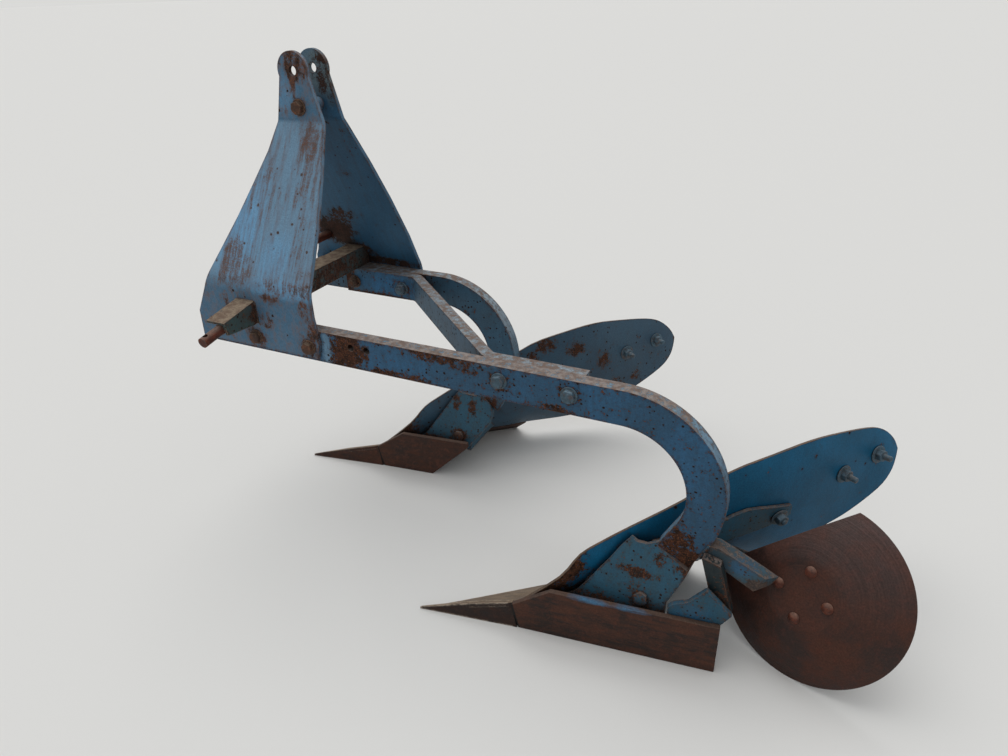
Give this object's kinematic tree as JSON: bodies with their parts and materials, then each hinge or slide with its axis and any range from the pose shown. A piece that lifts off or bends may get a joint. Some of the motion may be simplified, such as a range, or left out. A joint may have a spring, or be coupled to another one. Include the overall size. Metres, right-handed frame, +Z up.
{
  "type": "mounted moldboard plough",
  "caption": "Mounted moldboard plough with gooseneck beams, curved moldboards, shares and landsides, a headstock mast with link pins, a cross brace and a leaning rolling disc at the rear.",
  "frame": {"origin": "on the floor under the middle of the overall box", "axes": "+X rearward along the beams, +Y to the plough's right, the side the furrow is turned to, +Z up"},
  "size_m": [1.5436, 1.0308, 1.0859],
  "materials": {
    "beam_paint": "chipped blue paint over rust",
    "mast_paint": "chipped blue paint over rust",
    "brace_paint": "chipped blue paint",
    "angle_paint": "worn blue paint, bare brown steel on top",
    "frog_paint": "chipped blue paint",
    "moldboard_paint": "dark blue paint",
    "share_steel": "dark rusted plough steel",
    "landside_steel": "dark rusted plough steel",
    "disc_steel": "dark rusted plough steel",
    "pin_steel": "rusted steel",
    "bar_steel": "rusted steel",
    "bolt_steel": "rusted steel",
    "hub_steel": "greasy rusted steel"
  },
  "bodies": {
    "plough_frame": {"beam_rear": "beam_paint", "beam_front": "beam_paint", "mast_plate_left": "mast_paint", "mast_plate_right": "mast_paint", "mast_spacer": "bar_steel", "mast_spacer_bolt": "bolt_steel", "mast_bolts": "bolt_steel", "tie_bar": "bar_steel", "cross_angle": "angle_paint", "link_pin_left": "pin_steel", "link_pin_right": "pin_steel", "brace": "brace_paint", "brace_bolts": "bolt_steel", "frog_rear": "frog_paint", "frog_front": "frog_paint", "frog_rib_rear": "frog_paint", "frog_rib_front": "frog_paint", "share_rear": "share_steel", "share_front": "share_steel", "landside_rear": "landside_steel", "landside_front": "landside_steel", "moldboard_rear": "moldboard_paint", "moldboard_front": "moldboard_paint", "moldboard_strap_rear": "frog_paint", "moldboard_strap_front": "frog_paint", "moldboard_bolts_rear": "bolt_steel", "moldboard_bolts_front": "bolt_steel", "heel_plate": "frog_paint", "heel_strut": "frog_paint", "tail_bar": "frog_paint", "wheel_arm": "frog_paint", "wheel_axle": "hub_steel"},
    "disc_wheel": {"wheel_hub": "hub_steel", "wheel_disc": "disc_steel", "wheel_bolts": "bolt_steel"}
  },
  "joints": [
    {"name": "disc_spin", "type": "hinge", "parent": "plough_frame", "child": "disc_wheel", "pos_m": [0.60475, -0.29399, 0.16266], "axis": [-0.3446, -0.8445, 0.4099], "continuous": true}
  ]
}
